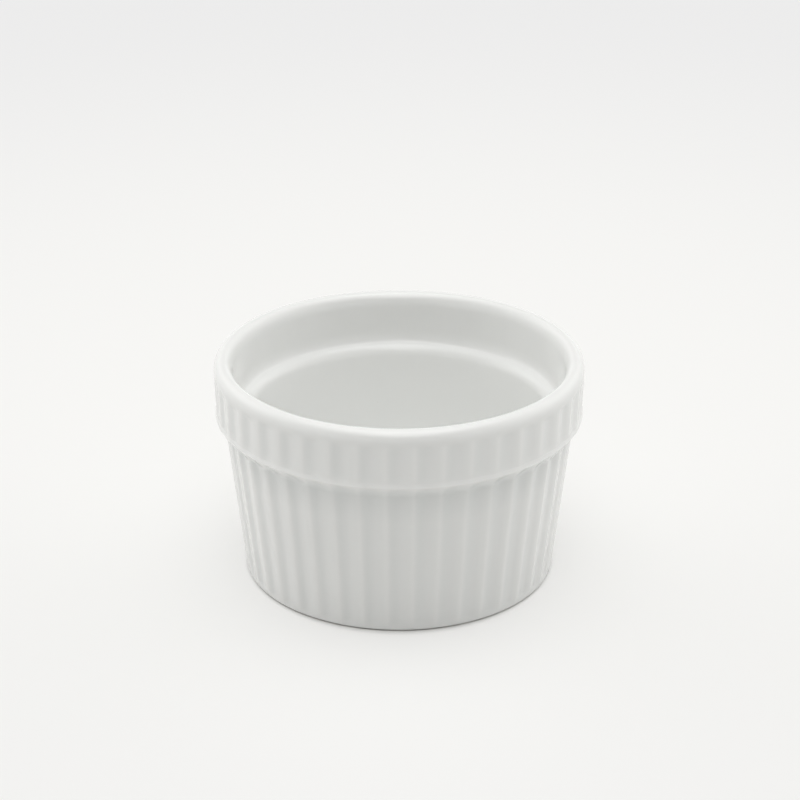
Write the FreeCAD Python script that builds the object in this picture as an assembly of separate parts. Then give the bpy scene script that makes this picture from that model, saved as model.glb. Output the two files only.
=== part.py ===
import FreeCAD, Part
import math
import os

# A ramekin: one pleated porcelain dish with a stacking step, and the glaze on it.
# +Z is up, the origin is on the table under the middle of the dish, sizes are in millimetres.
# Angles run anticlockwise seen from above, from the front of the dish, which faces -Y.

# The dish as it is measured over the glaze
height = 55.1
rim_radius = 45.0
rim_wall = 4.35
rim_crest_inset = 2.25
rim_outer_fall = 2.6
rim_inner_fall = 2.7

# The collar: the wider band under the rim, its rounded lower edge and the slope back to the body
collar_height = 14.6
collar_draft = 0.3
collar_step = 1.8
collar_cove = 1.5
collar_edge_round_share = 0.3

# The tapered body, and the bare foot ring that it stands on, set in under the wall
body_taper = 4.6
foot_inset = 1.2
foot_rise = 0.45
foot_ring_width = 3.0
recess_depth = 1.2
recess_bevel = 0.4

# The inside: collar wall, stacking ledge, bowl wall and floor
collar_inner_draft = 0.75
ledge_rise = 1.9
ledge_drop = 1.2
body_wall = 6.3
foot_wall = 5.4
floor_thickness = 4.2
floor_round = 6.0
ledge_cove_share = 0.65
ledge_round_share = 0.79

# The pleats: each rises gently from its valley and falls back faster after its crest
pleat_count = 42
pleat_depth = 0.42
pleat_crest_round = 1.5
pleat_valley_round = 1.5
pleat_runout = 2.3
pleat_fall_share = 0.38
first_crest_share = 0.52

# The glaze, which stops where the foot ring turns in under the wall
glaze_thickness = 0.3

# How far a cutting shape runs past the face that it cuts
overrun = 5.0

# The collar's rounded lower edge is made of this many bands
edge_bands = 3

full_turn = 2 * math.pi
axis_point = FreeCAD.Vector(0, 0, 0)
axis_up = FreeCAD.Vector(0, 0, 1)

# Sizes that follow from those above
rim_edge_height = height - rim_outer_fall
rim_crest_radius = rim_radius - rim_crest_inset
collar_foot = height - collar_height
collar_edge_radius = rim_radius - collar_draft
collar_edge_round = collar_step * collar_edge_round_share
body_top_radius = collar_edge_radius - collar_step
foot_radius = body_top_radius - body_taper
recess_radius = foot_radius - foot_inset - foot_ring_width
floor_height = recess_depth + floor_thickness
floor_middle = recess_depth + floor_thickness / 2
pleat_top = rim_edge_height - pleat_runout
collar_inner_radius = rim_radius - rim_wall
ledge_height = collar_foot + ledge_rise
ledge_outer_radius = collar_inner_radius - collar_inner_draft
bowl_radius = body_top_radius - body_wall
bowl_floor_radius = foot_radius - foot_wall
ledge_width = ledge_outer_radius - bowl_radius


def polar(radius, angle, z):
    """A point by its distance from the axis, its angle from the front and its height."""
    return FreeCAD.Vector(radius * math.sin(angle), -radius * math.cos(angle), z)


def rounded_corner(before, corner, after, radius):
    """The two tangent points of a rounded corner, and the middle of its arc."""
    back = (before - corner).normalize()
    ahead = (after - corner).normalize()
    half_angle = back.getAngle(ahead) / 2
    reach = radius / math.tan(half_angle)
    bisector = (back + ahead).normalize()
    middle = corner + bisector * (radius / math.sin(half_angle) - radius)
    return corner + back * reach, middle, corner + ahead * reach


def eased_corner(enter, corner, leave):
    """An elliptic edge that rounds a corner from a point on one side of it to a point on the other."""
    half_angle = (enter - corner).getAngle(leave - corner) / 2
    poles = [enter, corner, leave]
    curve = Part.BezierCurve()
    curve.setPoles(poles)
    curve.setWeight(len(poles) - 1, math.sin(half_angle))
    return curve.toShape()


def rounded_edges(points, radii, closed):
    """Lines through the points, with an arc at each corner that has a radius."""
    edges = []
    last = len(points) - 1
    start = None if closed else points[0]
    corners = range(-1, len(points)) if closed else range(1, last)
    for i in corners:
        corner = points[i]
        enter, middle, leave = corner, None, corner
        if radii[i] > 0:
            after = points[(i + 1) % len(points)]
            enter, middle, leave = rounded_corner(points[i - 1], corner, after, radii[i])
        if start is not None:
            edges.append(Part.LineSegment(start, enter).toShape())
            if middle is not None:
                edges.append(Part.Arc(enter, middle, leave).toShape())
        start = leave
    if not closed:
        edges.append(Part.LineSegment(start, points[last]).toShape())
    return edges


def pleated_edges(crest_radius, z):
    """One level of the pleated outside, crest to crest, as lines joined by arcs."""
    pitch = full_turn / pleat_count
    points = []
    radii = []
    for i in range(pleat_count):
        crest_angle = pitch * (i + first_crest_share)
        points.append(polar(crest_radius, crest_angle, z))
        points.append(polar(crest_radius - pleat_depth, crest_angle + pitch * pleat_fall_share, z))
        radii.append(pleat_crest_round)
        radii.append(pleat_valley_round)
    return rounded_edges(points, radii, True)


def pleated_wire(crest_radius, z):
    """One level of the pleated outside as a closed wire."""
    return Part.Wire(pleated_edges(crest_radius, z))


def smooth_wire(radius, z):
    """A circle in as many arcs as a pleated level has edges, at the same angles."""
    arcs = []
    for edge in pleated_edges(radius, z):
        first, last = edge.valueAt(edge.FirstParameter), edge.valueAt(edge.LastParameter)
        middle = edge.valueAt((edge.FirstParameter + edge.LastParameter) / 2)
        on_circle = [polar(radius, math.atan2(p.x, -p.y), z) for p in (first, middle, last)]
        arcs.append(Part.Arc(*on_circle).toShape())
    return Part.Wire(arcs)


def body_radius(z):
    """Radius of the body's pleat crests at a height."""
    return foot_radius + body_taper * z / collar_foot


def outside_wires(inset):
    """The levels of the outside, from the foot ring's top edge to the rim's widest ring."""
    cove_height = collar_foot - collar_cove
    wires = [
        pleated_wire(body_radius(foot_rise) - inset, foot_rise),
        pleated_wire(body_radius(cove_height) - inset, cove_height + inset),
    ]
    for i in range(edge_bands + 1):
        angle = full_turn / 4 * i / edge_bands
        edge_radius = collar_edge_radius - collar_edge_round * (1 - math.sin(angle))
        edge_height = collar_foot + collar_edge_round * (1 - math.cos(angle))
        wires.append(pleated_wire(edge_radius - inset, edge_height + inset))
    wires.append(pleated_wire(rim_radius - inset, pleat_top))
    wires.append(smooth_wire(rim_radius - inset, rim_edge_height))
    return wires


def lines(points):
    """The straight edges from each point to the next."""
    return [Part.LineSegment(*pair).toShape() for pair in zip(points, points[1:])]


def turned(edges):
    """The solid that a closed outline sweeps around the axis."""
    return Part.Face(Part.Wire(edges)).revolve(axis_point, axis_up, math.degrees(full_turn))


def in_section(radius, z):
    """A point of a turned outline."""
    return FreeCAD.Vector(radius, 0, z)


def hollow(inset):
    """The space inside the dish and over its mouth, grown by an inset into the clay."""
    ledge_corner = in_section(ledge_outer_radius + inset, ledge_height - inset)
    rim_corner = in_section(collar_inner_radius + inset, height - inset)
    crest = in_section(rim_crest_radius, height - inset)
    wall_top = rim_corner + (ledge_corner - rim_corner).normalize() * rim_inner_fall
    points = [
        in_section(0, floor_height - inset),
        in_section(bowl_floor_radius + inset, floor_height - inset),
        in_section(bowl_radius + inset, ledge_height - ledge_drop - inset),
        ledge_corner,
        wall_top,
    ]
    ledge_round = ledge_width * ledge_round_share - inset
    ledge_cove = ledge_width * ledge_cove_share + inset
    edges = rounded_edges(points, [0, floor_round + inset, ledge_round, ledge_cove, 0], False)
    edges.append(eased_corner(wall_top, rim_corner, crest))
    top = height + overrun
    return turned(edges + lines([crest, in_section(rim_crest_radius, top), in_section(0, top), points[0]]))


def rim_cap(inset):
    """The dish's top, closed over its mouth, with the rim's outer edge rounded."""
    edge = in_section(rim_radius - inset, rim_edge_height)
    crest = in_section(rim_crest_radius, height - inset)
    edges = lines([crest, in_section(0, height - inset), in_section(0, rim_edge_height), edge])
    edges.append(eased_corner(edge, in_section(rim_radius - inset, height - inset), crest))
    return turned(edges)


def vessel(inset, foot_wires):
    """The dish drawn inside its glazed surface by an inset, on the levels of its foot."""
    outside = Part.makeLoft(foot_wires + outside_wires(inset), True, True)
    return outside.fuse(rim_cap(inset)).cut(hollow(inset))


def foot_recess():
    """The shallow hollow under the floor, inside the foot ring, with a bevelled mouth."""
    ceiling = recess_depth + glaze_thickness
    mouth_radius = recess_radius + recess_bevel
    points = [
        in_section(0, -overrun),
        in_section(mouth_radius, -overrun),
        in_section(mouth_radius, 0),
        in_section(recess_radius, recess_bevel),
        in_section(recess_radius, ceiling),
        in_section(0, ceiling),
        in_section(0, -overrun),
    ]
    return turned(lines(points))


def porcelain_body():
    """The fired clay, bare at the foot ring."""
    foot_wire = pleated_wire(foot_radius - glaze_thickness - foot_inset, 0)
    return vessel(glaze_thickness, [foot_wire]).cut(foot_recess())


def glaze_coat(clay):
    """The glass coat between the glazed surface and the clay, down to the foot ring."""
    wall_radius = body_radius(foot_rise)
    outer_edge = Part.Face(pleated_wire(wall_radius, foot_rise))
    inner_edge = Part.Face(pleated_wire(wall_radius - glaze_thickness, foot_rise))
    skins = vessel(0, []).Faces + clay.Faces
    faces = [face for face in skins if face.BoundBox.ZMax > floor_middle]
    shell = Part.makeShell(faces + outer_edge.cut(inner_edge).Faces)
    shell.sewShape()
    return Part.makeSolid(shell)


def underside_glaze():
    """The disc of glaze that roofs the foot recess."""
    return Part.makeCylinder(recess_radius, glaze_thickness, FreeCAD.Vector(0, 0, recess_depth))


os.makedirs("parts", exist_ok=True)
clay = porcelain_body()
pieces = {
    "porcelain_body": clay,
    "glaze_coat": glaze_coat(clay),
    "underside_glaze": underside_glaze(),
}
for name, shape in pieces.items():
    shape.exportStep("parts/" + name + ".step")
    print(name, len(shape.Solids), "solid", shape.isValid(), round(shape.Volume), "mm3")
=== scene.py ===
"""Looks of a pleated white ramekin in a pale studio: its clay body, its glaze and the glaze under it."""

import logging
import math
from dataclasses import dataclass, field, replace
from enum import Enum
from typing import Any, ClassVar, Mapping, Optional, Sequence, Union

import bpy
import numpy as np
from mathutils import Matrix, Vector


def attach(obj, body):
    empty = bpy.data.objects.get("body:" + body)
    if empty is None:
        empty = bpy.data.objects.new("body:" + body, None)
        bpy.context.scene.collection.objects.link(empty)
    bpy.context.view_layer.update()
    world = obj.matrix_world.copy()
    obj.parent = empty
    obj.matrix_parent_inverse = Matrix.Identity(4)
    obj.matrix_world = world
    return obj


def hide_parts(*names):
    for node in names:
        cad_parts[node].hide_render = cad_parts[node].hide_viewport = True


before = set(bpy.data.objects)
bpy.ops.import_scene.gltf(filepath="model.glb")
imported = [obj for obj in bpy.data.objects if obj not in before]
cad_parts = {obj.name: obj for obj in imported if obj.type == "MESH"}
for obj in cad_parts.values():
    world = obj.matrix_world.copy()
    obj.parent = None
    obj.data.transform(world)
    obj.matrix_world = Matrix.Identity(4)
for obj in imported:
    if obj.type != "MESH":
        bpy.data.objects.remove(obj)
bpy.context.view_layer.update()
MM = 0.001
FULL_TURN = 2 * math.pi
NOISE_MIDDLE = 0.5
FEWEST_ARC_POINTS = 3
SAME_PLACE = 1e-6
LOG = logging.getLogger("ramekin")

Number = Union[int, float]
Colour = tuple[float, float, float]
Triple = tuple[float, float, float]


class Piece(Enum):
    """The pieces of the dish, by the CAD node that each one stands for."""

    COAT = "glaze_coat"
    CLAY = "porcelain_body"
    UNDERSIDE = "underside_glaze"


class Slot(Enum):
    """The record's material slots."""

    GLAZE = "white_glaze"
    CLAY = "fired_clay"


class Signal:
    """One output socket in shader maths: an expression on signals adds Math nodes."""

    def __init__(self, sheet: "ShaderSheet", socket: bpy.types.NodeSocket) -> None:
        """Keeps a socket with the sheet that it is on.

        Args:
            sheet: The sheet that new nodes go on.
            socket: The output socket.
        """
        self.sheet = sheet
        self.socket = socket

    def math(self, operation: str, *operands: Union["Signal", Number]) -> "Signal":
        """Adds a Math node.

        Args:
            operation: The node's operation.
            operands: The node's values in order.

        Returns:
            The node's result.
        """
        return self.sheet.node("ShaderNodeMath", "Value", {"operation": operation}, dict(enumerate(operands)))

    def __add__(self, other: Union["Signal", Number]) -> "Signal":
        """Sum of two values."""
        return self.math("ADD", self, other)

    def __radd__(self, other: Number) -> "Signal":
        """Sum with a plain number on the left."""
        return self.math("ADD", other, self)

    def __sub__(self, other: Union["Signal", Number]) -> "Signal":
        """Difference of two values."""
        return self.math("SUBTRACT", self, other)

    def __rsub__(self, other: Number) -> "Signal":
        """Difference with a plain number on the left."""
        return self.math("SUBTRACT", other, self)

    def __mul__(self, other: Union["Signal", Number]) -> "Signal":
        """Product of two values."""
        return self.math("MULTIPLY", self, other)

    def __rmul__(self, other: Number) -> "Signal":
        """Product with a plain number on the left."""
        return self.math("MULTIPLY", other, self)

    def __pow__(self, other: Number) -> "Signal":
        """A value raised to a power."""
        return self.math("POWER", self, other)

    def at_least(self, other: Union["Signal", Number]) -> "Signal":
        """The larger of two values."""
        return self.math("MAXIMUM", self, other)

    def below(self, other: Number) -> "Signal":
        """One where a value is under a number, and zero elsewhere."""
        return self.math("LESS_THAN", self, other)

    def ramp(self, low: float, high: float) -> "Signal":
        """A smooth step.

        Args:
            low: The value where the step starts from zero.
            high: The value where it reaches one.

        Returns:
            The step's height, from zero to one.
        """
        settings = {"interpolation_type": "SMOOTHSTEP"}
        return self.sheet.node(
            "ShaderNodeMapRange", "Result", settings, {"Value": self, "From Min": low, "From Max": high}
        )


class ShaderSheet:
    """A node tree that is filled from Python."""

    def __init__(self, tree: bpy.types.NodeTree) -> None:
        """Starts from an empty tree.

        Args:
            tree: The node tree of a material or of the world.
        """
        self.tree = tree
        tree.nodes.clear()

    def node(
        self,
        kind: str,
        output: Optional[Union[str, int]] = None,
        settings: Optional[Mapping[str, Any]] = None,
        inputs: Optional[Mapping[Union[str, int], Any]] = None,
    ) -> Optional[Signal]:
        """Adds a node.

        Args:
            kind: The node's type.
            output: The name or number of the output that is wanted, if any.
            settings: The node's own settings, which are set first.
            inputs: A value, or a signal to link, for each input by name or number.

        Returns:
            The wanted output.
        """
        made = self.tree.nodes.new(kind)
        for name, value in (settings or {}).items():
            setattr(made, name, value)
        for key, value in (inputs or {}).items():
            if isinstance(value, Signal):
                self.tree.links.new(value.socket, made.inputs[key])
            else:
                made.inputs[key].default_value = value
        return None if output is None else Signal(self, made.outputs[output])

    def noise(self, place: Signal, scale: float, detail: float = 2.0) -> Signal:
        """Soft noise.

        Args:
            place: The coordinates that it is read at.
            scale: Its waves in a metre.
            detail: How many finer layers it has.

        Returns:
            The noise, from zero to one around a half.
        """
        inputs = {"Vector": place, "Scale": scale, "Detail": detail}
        return self.node("ShaderNodeTexNoise", "Fac", {"normalize": True}, inputs)

    def specks(self, place: Signal, scale: float, size: float, share: float) -> Signal:
        """Scattered round specks.

        Args:
            place: The coordinates that they are read at.
            scale: How many cells a metre has, with one speck in a cell at most.
            size: A speck's radius as a share of its cell.
            share: The share of the cells that hold a speck.

        Returns:
            One inside a speck, and zero elsewhere.
        """
        inputs = {"Vector": place, "Scale": scale}
        reach = self.node("ShaderNodeTexVoronoi", "Distance", {}, inputs)
        tint = self.node("ShaderNodeTexVoronoi", "Color", {}, inputs)
        lot = self.node("ShaderNodeSeparateColor", 0, {}, {0: tint})
        return reach.below(size) * lot.below(share)

    def seen(self) -> Signal:
        """Tells rays that show a surface from rays that only carry its light.

        Returns:
            One for rays of the first kind, and zero for rays of the second.
        """
        kinds = ("Camera", "Glossy", "Transmission")
        camera, glossy, through = (self.node("ShaderNodeLightPath", "Is %s Ray" % kind) for kind in kinds)
        return camera.at_least(glossy).at_least(through)

    def blend(self, share: Signal, low: Union[Signal, Colour], high: Union[Signal, Colour]) -> Signal:
        """Mixes two colours.

        Args:
            share: How much of the second colour there is.
            low: The first colour.
            high: The second colour.

        Returns:
            The mixed colour.
        """
        low, high = (c if isinstance(c, Signal) else (*c, 1.0) for c in (low, high))
        # The Mix node's colour sockets go by number, because its other sockets have the same names
        return self.node("ShaderNodeMix", 2, {"data_type": "RGBA"}, {0: share, 6: low, 7: high})

    def vector(self, operation: str, output: str, *operands: Union[Signal, Triple]) -> Signal:
        """Adds a Vector Math node.

        Args:
            operation: The node's operation.
            output: The name of the output that is wanted.
            operands: The node's vectors in order.

        Returns:
            The wanted output.
        """
        return self.node("ShaderNodeVectorMath", output, {"operation": operation}, dict(enumerate(operands)))

    def bump(self, height: Signal, strength: float, depth: float) -> Signal:
        """Fine relief.

        Args:
            height: The relief's height, from zero to one.
            strength: How much of the relief shows.
            depth: The relief's full height, in metres.

        Returns:
            The surface's normal with the relief on it.
        """
        inputs = {"Height": height, "Strength": strength, "Distance": depth}
        return self.node("ShaderNodeBump", "Normal", {}, inputs)


def blank_material(name: str) -> tuple[bpy.types.Material, ShaderSheet]:
    """Makes a material with no nodes.

    Args:
        name: The material's name.

    Returns:
        The material, and the sheet for its nodes.
    """
    made = bpy.data.materials.new(name)
    made.use_nodes = True
    return made, ShaderSheet(made.node_tree)


@dataclass(frozen=True)
class WhiteGlaze:
    """A clear gloss glaze over white porcelain, greyer where it pools and where shade is painted into it,
    lighter where a highlight is painted.
    """

    thin: Colour = (0.925, 0.925, 0.91)
    pooled_and_shaded: Colour = (0.806, 0.818, 0.808)
    cloud_scale: float = 55.0
    cloud_weight: float = 0.15
    iron: Colour = (0.62, 0.57, 0.5)
    iron_scale: float = 160.0
    iron_size: float = 0.02
    iron_share: float = 0.12
    iron_weight: float = 0.6
    roughness: float = 0.1
    smear_scale: float = 140.0
    smear_detail: float = 3.0
    smear_weight: float = 0.08
    peel_scale: float = 420.0
    peel_detail: float = 1.0
    peel_strength: float = 0.35
    peel_depth: float = 0.00002
    index: float = 1.5

    def material(self, name: str) -> bpy.types.Material:
        """Makes the finish.

        Args:
            name: The material's name.

        Returns:
            The material.
        """
        made, sheet = blank_material(name)
        place = sheet.node("ShaderNodeTexCoord", "Object")
        # The mesh marks pooled glaze together with painted shade, and a painted highlight where the mark is
        # low.
        pool_and_shade = sheet.node("ShaderNodeAttribute", "Fac", {"attribute_name": GlazeMesh.POOL_AND_SHADE})
        cloud = sheet.noise(place, self.cloud_scale)
        peel = sheet.noise(place, self.peel_scale, self.peel_detail)
        smear = sheet.noise(place, self.smear_scale, self.smear_detail)
        # Greyer where the mark is high, from pooled glaze and painted shade; lighter where it is low, a
        # painted highlight.
        depth = (pool_and_shade + (cloud - NOISE_MIDDLE) * self.cloud_weight).at_least(0.0)
        colour = sheet.blend(depth, self.thin, self.pooled_and_shaded)
        specks = sheet.specks(place, self.iron_scale, self.iron_size, self.iron_share)
        colour = sheet.blend(specks * self.iron_weight, colour, self.iron)
        normal = sheet.bump(peel, self.peel_strength, self.peel_depth)
        shader = sheet.node(
            "ShaderNodeBsdfPrincipled",
            "BSDF",
            {},
            {
                "Base Color": colour,
                "Roughness": self.roughness + (smear - NOISE_MIDDLE) * self.smear_weight,
                "IOR": self.index,
                "Normal": normal,
            },
        )
        sheet.node("ShaderNodeOutputMaterial", inputs={"Surface": shader})
        return made


@dataclass(frozen=True)
class BareClay:
    """Unglazed fired porcelain: warm, matt, finely grained, rubbed a little grey where it stands."""

    warm: Colour = (0.8, 0.775, 0.73)
    pale: Colour = (0.86, 0.845, 0.81)
    patch_scale: float = 90.0
    patch_detail: float = 3.0
    rubbed: Colour = (0.62, 0.6, 0.57)
    rub_scale: float = 260.0
    rub_detail: float = 4.0
    rub_start: float = 0.58
    rub_full: float = 0.74
    rub_weight: float = 0.35
    rub_gloss: float = 0.12
    speck: Colour = (0.4, 0.33, 0.26)
    speck_scale: float = 700.0
    speck_size: float = 0.16
    speck_share: float = 0.1
    speck_weight: float = 0.7
    roughness: float = 0.78
    grain_scale: float = 2600.0
    grain_detail: float = 3.0
    grain_weight: float = 0.2
    grain_strength: float = 0.6
    grain_depth: float = 0.00006

    def material(self, name: str) -> bpy.types.Material:
        """Makes the finish.

        Args:
            name: The material's name.

        Returns:
            The material.
        """
        made, sheet = blank_material(name)
        place = sheet.node("ShaderNodeTexCoord", "Object")
        grain = sheet.noise(place, self.grain_scale, self.grain_detail)
        patch = sheet.noise(place, self.patch_scale, self.patch_detail)
        rub = sheet.noise(place, self.rub_scale, self.rub_detail).ramp(self.rub_start, self.rub_full)
        colour = sheet.blend(patch, self.warm, self.pale)
        colour = sheet.blend(rub * self.rub_weight, colour, self.rubbed)
        specks = sheet.specks(place, self.speck_scale, self.speck_size, self.speck_share)
        colour = sheet.blend(specks * self.speck_weight, colour, self.speck)
        uneven = (grain - NOISE_MIDDLE) * self.grain_weight - rub * self.rub_gloss
        normal = sheet.bump(grain, self.grain_strength, self.grain_depth)
        shader = sheet.node(
            "ShaderNodeBsdfPrincipled",
            "BSDF",
            {},
            {
                "Base Color": colour,
                "Roughness": self.roughness + uneven,
                "Normal": normal,
            },
        )
        sheet.node("ShaderNodeOutputMaterial", inputs={"Surface": shader})
        return made


@dataclass(frozen=True)
class StudioPaper:
    """The pale matt paper that the dish stands on: painted darker far away, evenly bright, shaded at the
    foot.
    """

    near: Colour = (0.904, 0.9, 0.885)
    far: Colour = (0.822, 0.82, 0.822)
    bounce: Colour = (0.74, 0.74, 0.73)
    glow: float = 0.53
    brightest: Triple = (0.0, 0.09, 0.0)
    fade_start: float = 0.05
    fade_end: float = 0.47
    shade_start: float = 0.039
    shade_end: float = 0.0405
    # Draws the glow nearer the foot at the sides: painted light over the foot's shadow there.
    shade_draw: Triple = (1.04, 1.0, 1.0)

    def material(self, name: str) -> bpy.types.Material:
        """Makes the finish.

        Args:
            name: The material's name.

        Returns:
            The material.
        """
        made, sheet = blank_material(name)
        place = sheet.node("ShaderNodeTexCoord", "Object")
        # The glow's ring is drawn in on the left and right, a painted light that lifts the foot's shadow
        # there.
        reach = sheet.vector("LENGTH", "Value", sheet.vector("MULTIPLY", "Vector", place, self.shade_draw))
        away = sheet.vector("DISTANCE", "Value", place, self.brightest)
        # Painted shade: the paper darkens away from its brightest place, as the light falls off.
        colour = sheet.blend(away.ramp(self.fade_start, self.fade_end), self.near, self.far)
        shaded = sheet.node("ShaderNodeBsdfDiffuse", "BSDF", {}, {"Color": colour})
        even = sheet.node("ShaderNodeEmission", "Emission", {}, {"Color": colour, "Strength": 1.0})
        evened = reach.ramp(self.shade_start, self.shade_end) * self.glow
        shown = sheet.node("ShaderNodeMixShader", "Shader", {}, {0: evened, 1: shaded, 2: even})
        thrown = sheet.node("ShaderNodeBsdfDiffuse", "BSDF", {}, {"Color": (*self.bounce, 1.0)})
        shader = sheet.node("ShaderNodeMixShader", "Shader", {}, {0: sheet.seen(), 1: thrown, 2: shown})
        sheet.node("ShaderNodeOutputMaterial", inputs={"Surface": shader})
        return made


@dataclass(frozen=True)
class Panel:
    """A soft patch of light on the studio's walls or roof."""

    name: str
    way: Triple
    tightness: float
    strength: float


@dataclass(frozen=True)
class Corner:
    """A corner of a turned outline, in millimetres.

    Its rounding may be drawn out after the corner by a stretch, and the straight before it has some spans.
    """

    radius: float
    z: float
    rounding: float = 0.0
    spans: int = 1
    stretch: float = 1.0


def outline(corners: Sequence[Corner], arc_step: float) -> np.ndarray:
    """Points along an outline with rounded corners, some of them drawn out after the corner.

    Args:
        corners: The corners, in order.
        arc_step: The largest turn between two points of a rounding, in radians.

    Returns:
        One row of radius and height for each point.
    """
    places = [np.array([c.radius, c.z]) for c in corners]
    points = [places[0]]
    for i, corner in enumerate(corners[1:], start=1):
        enter, arc = places[i], []
        if corner.rounding > 0:
            back = places[i - 1] - places[i]
            ahead = places[i + 1] - places[i]
            back, ahead = back / np.linalg.norm(back), ahead / np.linalg.norm(ahead)
            half = math.acos(float(np.clip(back @ ahead, -1, 1))) / 2
            reach = corner.rounding / math.tan(half)
            enter = places[i] + back * reach
            leave = places[i] + ahead * reach * corner.stretch
            count = max(FEWEST_ARC_POINTS, math.ceil((math.pi - 2 * half) / arc_step) + 1)
            for share in np.linspace(0, 1, count)[1:]:
                weights = np.array([(1 - share) ** 2, 2 * share * (1 - share) * math.sin(half), share**2])
                arc.append(weights @ np.array([enter, places[i], leave]) / weights.sum())
        begin = points[-1]
        if np.linalg.norm(enter - begin) > SAME_PLACE:
            points += [begin + (enter - begin) * k / corner.spans for k in range(1, corner.spans + 1)]
        points += arc
    return np.array(points)


def smooth_step(value: np.ndarray, low: float, high: float) -> np.ndarray:
    """A smooth step from zero at the low value to one at the high value."""
    share = np.clip((value - low) / (high - low), 0, 1)
    return share * share * (3 - 2 * share)


@dataclass
class Pleats:
    """The pleats pressed into the outside: each falls to a crease after its crest, and rises slowly."""

    count: int = 42
    depth: float = 0.42
    first_crest_share: float = 0.47
    course: tuple[tuple[float, float], ...] = (
        (0.0, 0.0), (0.05, 0.02), (0.1, 0.11), (0.34, 0.85), (0.4, 0.95),
        (0.5, 1.0), (0.6, 0.86), (0.8, 0.33), (0.94, 0.06),
    )
    # Painted shade in each crease and a painted highlight on each crest, given as glaze run into the pleat.
    film_shade_and_highlight: tuple[tuple[float, float], ...] = (
        (0.02, 0.0), (0.08, 0.0), (0.16, 0.6), (0.3, 1.0),
        (0.44, 0.85), (0.6, 0.6), (0.85, 0.4), (0.94, 0.3),
    )
    softness_share: float = 0.016
    unevenness: float = 0.05
    crowding: float = 0.05
    crowded_share: float = 0.15
    samples: int = 2048
    seed: int = 7
    table: np.ndarray = field(init=False)
    film_shade_and_highlight_table: np.ndarray = field(init=False)
    strength: np.ndarray = field(init=False)

    def __post_init__(self) -> None:
        """Works out one soft pleat, the painted shade and highlight on it, and how deep each pleat of the
        ring is.
        """
        self.table = self.soften(self.course)
        self.film_shade_and_highlight_table = self.soften(self.film_shade_and_highlight)
        draw = np.random.default_rng(self.seed)
        self.strength = 1 - self.unevenness * draw.random(self.count)

    def soften(self, course: Sequence[tuple[float, float]]) -> np.ndarray:
        """A smooth curve through a few points of one pleat.

        Args:
            course: Shares of the pitch after the crest, each with a height.

        Returns:
            The curve from zero to one, over one pitch.
        """
        turn = np.arange(self.samples) / self.samples
        shares, heights = zip(*course)
        waves = np.fft.rfft(np.interp(turn, shares, heights, period=1.0))
        order = np.arange(len(waves))
        waves *= np.exp(-0.5 * (FULL_TURN * order * self.softness_share) ** 2)
        soft = np.fft.irfft(waves, self.samples)
        return (soft - soft.min()) / (soft.max() - soft.min())

    def angles(self, steps: int) -> np.ndarray:
        """Angles of the columns of a mesh, closer together where a pleat falls.

        Args:
            steps: How many columns a pleat has.

        Returns:
            The angles from the front, anticlockwise, in radians.
        """
        share = np.arange(steps) / steps
        near_fall = share - self.crowding * np.sin(FULL_TURN * (share - self.crowded_share))
        return FULL_TURN / self.count * (
            np.arange(self.count)[:, None] + self.first_crest_share + near_fall[None, :]
        ).ravel()

    def hollow(self, angles: np.ndarray) -> np.ndarray:
        """How deep the pleats are at some angles.

        Args:
            angles: The angles from the front.

        Returns:
            Zero at a crest, and about one in a valley.
        """
        return self.read(self.table, angles)

    def pooled_and_shaded(self, angles: np.ndarray) -> np.ndarray:
        """Painted shade in the pleats at some angles: most in a crease, least on a crest, where it is a
        painted highlight.

        Args:
            angles: The angles from the front.

        Returns:
            Zero on an edge, and about one in a crease.
        """
        return self.read(self.film_shade_and_highlight_table, angles)

    def read(self, table: np.ndarray, angles: np.ndarray) -> np.ndarray:
        """Reads a curve of one pleat, round the ring.

        Args:
            table: The curve.
            angles: The angles from the front.

        Returns:
            The curve's height at each angle, by how deep that pleat is.
        """
        turns = angles * self.count / FULL_TURN - self.first_crest_share
        which = np.floor(turns).astype(int)
        place = (turns - which) * self.samples
        height = np.interp(place, np.arange(self.samples), table, period=self.samples)
        return height * self.strength[which % self.count]


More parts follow.
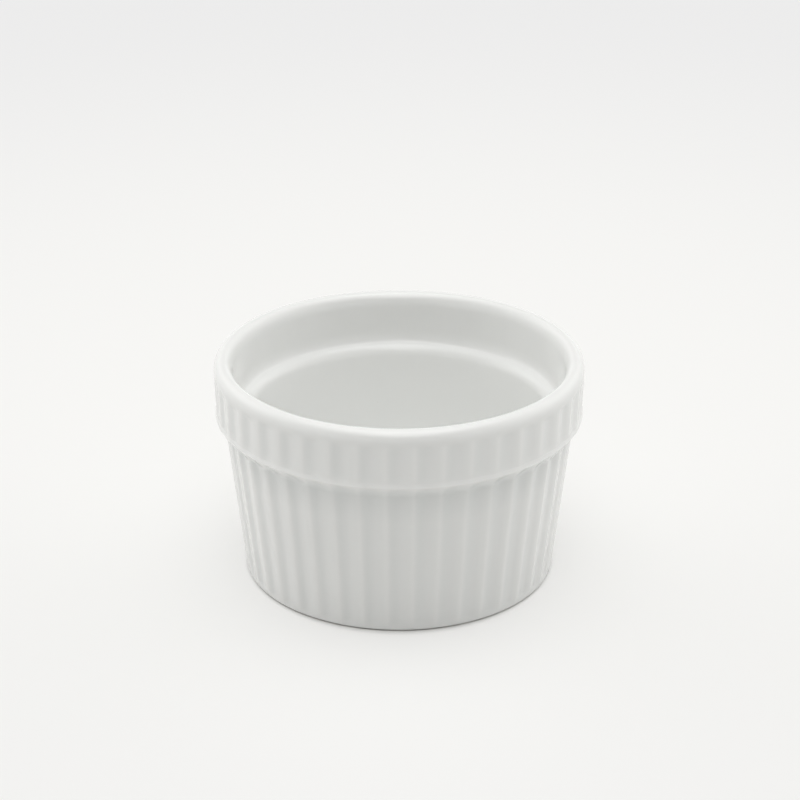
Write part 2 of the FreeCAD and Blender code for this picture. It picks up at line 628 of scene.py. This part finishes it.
@dataclass
class DishForm:
    """The shape that the pieces share, in millimetres."""

    height: float = 55.09
    rim_radius: float = 45.0
    rim_crest_radius: float = 42.75
    rim_outer_fall: float = 2.6
    rim_inner_fall: float = 3.7
    collar_foot: float = 40.5
    collar_edge_height: float = 41.1
    collar_edge_radius: float = 44.7
    collar_edge_round: float = 0.2
    collar_bead: float = 0.29
    collar_bead_height: float = 0.9
    collar_bead_round: float = 0.4
    collar_cove_height: float = 38.1
    collar_cove: float = 3.6
    body_top_radius: float = 42.9
    foot_radius: float = 38.3
    foot_rise: float = 0.42
    inner_radius: float = 40.65
    ledge_radius: float = 39.9
    ledge_height: float = 42.4
    ledge_drop: float = 1.2
    ledge_cove: float = 4.5
    ledge_cove_stretch: float = 0.4
    ledge_round: float = 3.4
    bowl_radius: float = 36.6
    bowl_floor_radius: float = 32.9
    floor_height: float = 5.4
    floor_round: float = 6.0
    pleat_top: float = 50.4
    pleat_end: float = 52.4
    pleat_foot: float = 2.4
    pleat_start: float = 0.21
    edge_pleat_share: float = 0.2
    edge_reach: float = 1.2
    glaze: float = 0.3
    wall_margin: float = 1.2
    pleats: Pleats = field(default_factory=Pleats)

    def wall_radius(self, z: float) -> float:
        """Radius of the wall's pleat crests at a height."""
        return self.foot_radius + (self.body_top_radius - self.foot_radius) * z / self.collar_foot

    def outside(self, inset: float) -> list[Corner]:
        """Corners of the outside and the rim, from the foot up and over to the inner wall.

        Args:
            inset: How far inside the glazed surface they are.

        Returns:
            The corners.
        """
        top = self.height - inset
        outer, inner = self.rim_radius - inset, self.inner_radius + inset
        rise, reach = self.rim_outer_fall - inset, self.rim_crest_radius - inner
        cove, edge = self.collar_cove_height, self.collar_edge_height
        bead, bead_top = self.collar_edge_radius + self.collar_bead, edge + self.collar_bead_height
        return [
            Corner(self.wall_radius(self.pleat_foot) - inset, self.pleat_foot, spans=2),
            Corner(self.wall_radius(cove) - inset, cove + inset, self.collar_cove, spans=5),
            Corner(bead - inset, edge + inset, self.collar_edge_round, spans=3),
            Corner(self.collar_edge_radius - inset, bead_top + inset, self.collar_bead_round),
            Corner(outer, self.pleat_top, spans=5),
            Corner(outer, top, rise, spans=5, stretch=(outer - self.rim_crest_radius) / rise),
            Corner(inner, top, reach, stretch=self.rim_inner_fall / reach),
        ]

    def inside(self, inset: float) -> list[Corner]:
        """Corners of the inside, from the rim down to the middle of the floor.

        Args:
            inset: How far inside the glazed surface they are.

        Returns:
            The corners.
        """
        ledge, floor = self.ledge_height - inset, self.floor_height - inset
        drop, cove, stretch = self.ledge_drop, self.ledge_cove + inset, self.ledge_cove_stretch
        return [
            Corner(self.ledge_radius + inset, ledge, cove, spans=4, stretch=stretch),
            Corner(self.bowl_radius + inset, self.ledge_height - drop - inset, self.ledge_round - inset),
            Corner(self.bowl_floor_radius + inset, floor, self.floor_round + inset, spans=5),
            Corner(0.0, floor, spans=2),
        ]

    def outer(self, points: np.ndarray) -> np.ndarray:
        """Which points of an outline are outside the middle of the wall and of the rim.

        Args:
            points: Rows of radius and height.

        Returns:
            True on the outside.
        """
        middle = (self.rim_radius + self.inner_radius) / 2
        wall = self.foot_radius + (middle - self.foot_radius) * points[:, 1] / self.height
        return points[:, 0] > wall - self.wall_margin

    def pleat_share(self, points: np.ndarray) -> np.ndarray:
        """How fully pleated each point of an outline is.

        Args:
            points: Rows of radius and height.

        Returns:
            One where the pleats are full, and zero where they have run out or on the inside.
        """
        z = points[:, 1]
        rise = smooth_step(z, self.pleat_start, self.pleat_foot)
        edge = np.exp(-(((z - self.collar_edge_height) / self.edge_reach) ** 2))
        rise *= 1 - edge * (1 - self.edge_pleat_share)
        return self.outer(points) * rise * (1 - smooth_step(z, self.pleat_top, self.pleat_end))


@dataclass(frozen=True)
class Firing:
    """How firing draws the dish a hair out of true, only inwards and downwards. Lengths are millimetres."""

    oval_share: float = 0.0009
    oval_start: float = 0.9
    front_sag: float = 0.16
    back_sag: float = 0.36
    wave_sag: float = 0.04
    waves: int = 3
    wave_start: float = 2.1
    front_swell: float = 0.3
    back_swell: float = 0.6
    swell_low: float = 36.0
    swell_high: float = 54.0
    swell_full_radius: float = 41.0
    swell_end_radius: float = 44.0

    def settle(
        self, radius: np.ndarray, z: np.ndarray, angles: np.ndarray, height: float
    ) -> tuple[np.ndarray, np.ndarray]:
        """Sags the rim, draws it oval and swells its inner side.

        Args:
            radius: The radius of each point of the mesh.
            z: The height of each point of the mesh.
            angles: The angle of each column.
            height: The height of the whole dish.

        Returns:
            The new radius and height.
        """
        oval = (1 + np.cos(2 * angles + self.oval_start)) / 2
        wave = (1 + np.cos(self.waves * angles + self.wave_start)) / 2
        front, back = np.clip(np.cos(angles), 0, 1) ** 2, np.clip(-np.cos(angles), 0, 1) ** 2
        rise = np.clip(z / height, 0, 1)
        sag = self.front_sag * front + self.back_sag * back + self.wave_sag * wave
        inner = 1 - smooth_step(radius, self.swell_full_radius, self.swell_end_radius)
        swell = smooth_step(z, self.swell_low, self.swell_high) * inner
        radius = radius - (self.front_swell * front + self.back_swell * back) * swell
        return radius * (1 - self.oval_share * oval * rise), z - sag * rise**3


@dataclass
class GlazeMesh:
    """A closed skin turned from an outline, with the pleats pressed into it."""

    POOL_AND_SHADE: ClassVar[str] = "glaze_pool_and_shade"
    MOST_POOL_AND_SHADE: ClassVar[float] = 1.7

    form: DishForm
    steps: int
    firing: Firing = Firing()
    film_shade_and_highlight_middle: float = 0.4

    def build(self, name: str, points: np.ndarray, pool_and_shade: np.ndarray) -> bpy.types.Object:
        """Makes the mesh of an outline whose two ends are on the axis, or are joined to each other.

        Args:
            name: The piece's name.
            points: Rows of radius and height, in millimetres.
            pool_and_shade: How much glaze is pooled, and how much shade is painted, at each point of the
                outline.

        Returns:
            The piece.
        """
        angles = self.form.pleats.angles(self.steps)
        hollow = self.form.pleats.hollow(angles)
        share = self.form.pleat_share(points)
        radius = points[:, :1] - self.form.pleats.depth * share[:, None] * hollow[None, :]
        z = np.repeat(points[:, 1:], len(angles), axis=1)
        radius, z = self.firing.settle(radius, z, angles, self.form.height)
        grid = np.stack([radius * np.sin(angles), -radius * np.cos(angles), z], axis=-1)
        # Adds the pleats' painted crease shade and crest highlight to the outline's pooled glaze and painted
        # shade.
        film_shade_and_highlight = self.form.pleats.pooled_and_shaded(angles) - self.film_shade_and_highlight_middle
        deep = np.clip(pool_and_shade[:, None] + share[:, None] * film_shade_and_highlight[None, :], 0, self.MOST_POOL_AND_SHADE)
        return self.wrap(name, grid * MM, deep / self.MOST_POOL_AND_SHADE, points[:, 0])

    def wrap(self, name: str, grid: np.ndarray, deep: np.ndarray, reach: np.ndarray) -> bpy.types.Object:
        """Joins a grid of points into a smooth mesh.

        Args:
            name: The piece's name.
            grid: The points, by row of the outline and by column.
            deep: The pooled glaze and painted shade at each point.
            reach: The radius of each row, where zero means a single point on the axis.

        Returns:
            The piece.
        """
        rows, columns = grid.shape[:2]
        first = np.zeros(rows, int)
        verts, marks = [], []
        for i in range(rows):
            first[i] = sum(len(v) for v in verts)
            verts.append(grid[i] if reach[i] > 0 else grid[i, :1])
            marks.append(deep[i] if reach[i] > 0 else deep[i, :1])
        faces = []
        around = np.arange(columns)
        ahead = (around + 1) % columns
        for i in range(rows - 1):
            low, high = first[i], first[i + 1]
            if reach[i] > 0 and reach[i + 1] > 0:
                faces += np.stack([low + around, low + ahead, high + ahead, high + around], 1).tolist()
            elif reach[i] > 0:
                faces += np.stack([low + around, low + ahead, np.full(columns, high)], 1).tolist()
            elif reach[i + 1] > 0:
                faces += np.stack([np.full(columns, low), high + ahead, high + around], 1).tolist()
        if reach[0] > 0:
            low, high = first[rows - 1], first[0]
            faces += np.stack([low + around, low + ahead, high + ahead, high + around], 1).tolist()
        mesh = bpy.data.meshes.new(name)
        mesh.from_pydata(np.concatenate(verts).tolist(), [], faces)
        mesh.shade_smooth()
        layer = mesh.attributes.new(self.POOL_AND_SHADE, "FLOAT", "POINT")
        layer.data.foreach_set("value", np.concatenate(marks).astype(np.float32))
        piece = bpy.data.objects.new(name, mesh)
        bpy.context.scene.collection.objects.link(piece)
        return piece


def dress(piece: bpy.types.Object, material: bpy.types.Material, part: Piece) -> None:
    """Gives a piece its finish and its place in the frame.

    Args:
        piece: The piece.
        material: Its material.
        part: The CAD node that it stands for.
    """
    piece.data.materials.append(material)
    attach(piece, "root")
    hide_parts(part.value)


@dataclass
class GlazeCoat:
    """The glaze over the outside, the rim and the inside, down to the bare foot ring."""

    form: DishForm
    steps: int = 16
    lip_round: float = 0.06
    resting: float = 0.4
    core_resting: float = 0.3
    # Painted shade under the collar, near the foot, on the ledge and down the bowl, and a painted highlight
    # on the collar's lower edge.
    under_collar_shade: float = 1.1
    under_collar_shade_run: float = 2.0
    collar_edge_highlight: float = 0.6
    edge_run: float = 0.8
    foot_shade: float = 0.2
    foot_run: float = 5.0
    ledge_shade: float = 0.5
    ledge_shade_inset: float = 2.2
    ledge_shade_drop: float = 0.4
    ledge_run: float = 1.5
    ledge_run_down: float = 1.2
    bowl_bottom_shade: float = 0.6
    fine: float = math.radians(8)
    coarse: float = math.radians(24)

    def build(self) -> bpy.types.Object:
        """Makes the coat as a thin closed shell.

        Returns:
            The piece.
        """
        form = self.form
        wall = form.wall_radius(form.foot_rise)
        lip = [Corner(wall - form.glaze, form.foot_rise), Corner(wall, form.foot_rise, self.lip_round)]
        skin = outline(lip + form.outside(0.0) + form.inside(0.0), self.fine)
        inner = [replace(c, spans=1) for c in form.outside(form.glaze) + form.inside(form.glaze)]
        core = outline([lip[0]] + inner, self.coarse)
        points = np.concatenate([skin, core[:0:-1]])
        pool_and_shade = np.concatenate([self.pooled_and_shaded(skin), np.full(len(core) - 1, self.core_resting)])
        return GlazeMesh(form, self.steps).build("glaze_coat_skin", points, pool_and_shade)

    def pooled_and_shaded(self, points: np.ndarray) -> np.ndarray:
        """How much the glaze greys along the outline: pooled glaze, painted shade and a painted highlight.

        Args:
            points: Rows of radius and height.

        Returns:
            The pooled glaze and painted shade, from zero to the most.
        """
        form = self.form
        radius, z = points[:, 0], points[:, 1]
        outer = form.outer(points)
        # Painted shade in a band under the collar's overhang.
        cove = outer * np.exp(-(((z - form.collar_cove_height) / self.under_collar_shade_run) ** 2))
        # Painted highlight along the collar's lower edge, where the grey is taken away.
        edge = outer * np.exp(-(((z - form.collar_edge_height) / self.edge_run) ** 2))
        # Painted shade on the outside, darkest at the foot by the floor.
        foot = outer * np.exp((form.foot_rise - z) / self.foot_run)
        # Painted shade along the inner half of the ledge.
        across = (radius - form.ledge_radius + self.ledge_shade_inset) / self.ledge_run
        down = (z - form.ledge_height + self.ledge_shade_drop) / self.ledge_run_down
        ledge = np.exp(-(across**2 + down**2))
        # Painted shade down the inside of the bowl and on its floor.
        bottom = ~outer * (1 - smooth_step(z, form.floor_height, form.ledge_height))
        # The resting glaze, then the painted shade and the painted highlight.
        depth = self.resting + self.under_collar_shade * cove - self.collar_edge_highlight * edge + self.foot_shade * foot
        depth += self.ledge_shade * ledge + self.bowl_bottom_shade * bottom
        return np.clip(depth, 0, GlazeMesh.MOST_POOL_AND_SHADE)

    def dress(self, piece: bpy.types.Object) -> None:
        """Glazes the coat."""
        dress(piece, WhiteGlaze().material("white_glaze_coat"), Piece.COAT)


@dataclass
class ClayBody:
    """The fired clay, which shows at the foot ring."""

    form: DishForm
    steps: int = 8
    clearance: float = 0.01
    foot_inset: float = 1.2
    foot_ring_width: float = 3.0
    recess_depth: float = 1.5
    recess_draft: float = 0.1
    edge_round: float = 0.25
    lip_round: float = 0.0625
    fine: float = math.radians(15)

    def build(self) -> bpy.types.Object:
        """Makes the clay as one closed solid.

        Returns:
            The piece.
        """
        form = self.form
        inset = form.glaze + self.clearance
        outer = form.foot_radius - form.glaze - self.foot_inset
        inner = form.foot_radius - self.foot_inset - self.foot_ring_width
        under = [
            Corner(0.0, self.recess_depth),
            Corner(inner, self.recess_depth, self.edge_round, spans=6),
            Corner(inner + self.recess_draft, 0.0, self.edge_round),
            Corner(outer, 0.0, self.edge_round, spans=3),
            Corner(form.wall_radius(form.foot_rise) - inset, form.foot_rise, self.lip_round, spans=2),
        ]
        points = outline(under + form.outside(inset) + form.inside(inset), self.fine)
        return GlazeMesh(form, self.steps).build("clay_body", points, np.zeros(len(points)))

    def dress(self, piece: bpy.types.Object) -> None:
        """Leaves the clay bare."""
        dress(piece, BareClay().material("bare_fired_clay"), Piece.CLAY)


@dataclass
class UndersideGlaze:
    """The glaze in the recess under the floor, which creeps a little way down the recess's wall."""

    form: DishForm
    steps: int = 4
    radius: float = 34.05
    roof: float = 1.48
    face: float = 1.2
    creep: float = 0.3
    lip_width: float = 0.12
    lip_tip_width: float = 0.02
    lip_tip_creep: float = 0.36
    lip_round: float = 0.03
    edge_run: float = 2.0
    pool_in_middle: float = 0.35
    pool_near_edge: float = 0.4
    pool_at_edge: float = 0.8
    fine: float = math.radians(15)

    def build(self) -> bpy.types.Object:
        """Makes the disc of glaze as one closed solid.

        Returns:
            The piece.
        """
        corners = [
            Corner(0.0, self.face),
            Corner(self.radius - self.lip_width, self.face, self.creep, spans=8),
            Corner(self.radius - self.lip_tip_width, self.face - self.lip_tip_creep, self.lip_round),
            Corner(self.radius, self.face - self.creep),
            Corner(self.radius, self.roof),
            Corner(0.0, self.roof, spans=4),
        ]
        points = outline(corners, self.fine)
        reaches = [0, self.radius - self.edge_run, self.radius]
        pool_and_shade = np.interp(points[:, 0], reaches, [self.pool_in_middle, self.pool_near_edge, self.pool_at_edge])
        return GlazeMesh(self.form, self.steps).build("underside_glaze_disc", points, pool_and_shade)

    def dress(self, piece: bpy.types.Object) -> None:
        """Glazes the disc."""
        dress(piece, WhiteGlaze().material("white_glaze_underside"), Piece.UNDERSIDE)


@dataclass
class Studio:
    """The pale floor, the soft light around it and the camera."""

    floor_radius: float = 6.0
    floor_sides: int = 96
    backdrop: float = 0.8
    backdrop_low: float = 0.25
    backdrop_high: float = 0.42
    panels: tuple[Panel, ...] = (
        Panel("roof", (0.0, 0.0, 1.0), 8.0, 2.93),
        Panel("left", (-0.9063, 0.4226, 0.0), 3.0, 1.97),
        Panel("right", (0.9063, 0.4226, 0.0), 3.0, 1.88),
        Panel("front", (0.0, -1.0, 0.0), 2.0, 0.16),
        Panel("front_roof", (0.0, -0.5736, 0.8192), 24.0, 2.0),
    )
    tint: tuple[float, float, float, float] = (1.0, 1.0, 0.99, 1.0)
    focal_pixels: float = 2280.1
    frame_pixels: float = 800.0
    sensor: float = 36.0
    distance: float = 0.5581
    elevation: float = math.radians(24.44)
    aim: Triple = (0.0002, 0.0, 0.042874)
    nearest: float = 0.05
    farthest: float = 20.0

    def build(self) -> None:
        """Sets up the whole studio."""
        bpy.context.scene.view_settings.view_transform = "Standard"
        self.build_floor()
        self.build_light()
        self.build_camera()

    def build_floor(self) -> None:
        """Lays the floor as a wide disc."""
        turn = np.linspace(0, FULL_TURN, self.floor_sides, endpoint=False)
        ring = np.stack([np.cos(turn), np.sin(turn), np.zeros_like(turn)], 1) * self.floor_radius
        mesh = bpy.data.meshes.new("studio_floor")
        mesh.from_pydata(ring.tolist(), [], [list(range(len(turn)))])
        mesh.materials.append(StudioPaper().material("studio_paper"))
        floor = bpy.data.objects.new("studio_floor", mesh)
        bpy.context.scene.collection.objects.link(floor)

    def build_light(self) -> None:
        """Lights the studio from above and from the sides, over an even backdrop all round."""
        world = bpy.data.worlds.new("studio_light")
        world.use_nodes = True
        bpy.context.scene.world = world
        sheet = ShaderSheet(world.node_tree)
        way = sheet.node("ShaderNodeTexCoord", "Generated")
        light = 0.0
        for panel in self.panels:
            facing = sheet.vector("DOT_PRODUCT", "Value", way, panel.way).at_least(0.0)
            light = light + panel.strength * facing**panel.tightness
            LOG.info("%s light: strength %.2f", panel.name, panel.strength)
        lamps, sweep = (
            sheet.node("ShaderNodeBackground", "Background", {}, {"Color": self.tint, "Strength": strength})
            for strength in (light, self.backdrop)
        )
        rise = sheet.node("ShaderNodeSeparateXYZ", "Z", {}, {0: way})
        share = sheet.seen() * (1 - rise.ramp(self.backdrop_low, self.backdrop_high))
        shader = sheet.node("ShaderNodeMixShader", "Shader", {}, {0: share, 1: lamps, 2: sweep})
        sheet.node("ShaderNodeOutputWorld", inputs={"Surface": shader})

    def build_camera(self) -> None:
        """Places the camera in front of the dish and above it."""
        lens = bpy.data.cameras.new("camera")
        lens.sensor_width = self.sensor
        lens.lens = self.focal_pixels / self.frame_pixels * self.sensor
        lens.clip_start = self.nearest
        lens.clip_end = self.farthest
        camera = bpy.data.objects.new("camera", lens)
        back = Vector((0.0, -math.cos(self.elevation), math.sin(self.elevation)))
        camera.location = Vector(self.aim) + back * self.distance
        camera.rotation_mode = "QUATERNION"
        camera.rotation_quaternion = (-back).to_track_quat("-Z", "Y")
        bpy.context.scene.collection.objects.link(camera)
        bpy.context.scene.camera = camera


def main() -> None:
    """Builds the dish and its studio."""
    logging.basicConfig(level=logging.INFO, format="%(name)s: %(message)s")
    form = DishForm()
    for assembly in (GlazeCoat(form), ClayBody(form), UndersideGlaze(form)):
        piece = assembly.build()
        assembly.dress(piece)
        LOG.info("%s: %d faces", piece.name, len(piece.data.polygons))
    Studio().build()


if __name__ == "__main__":
    main()
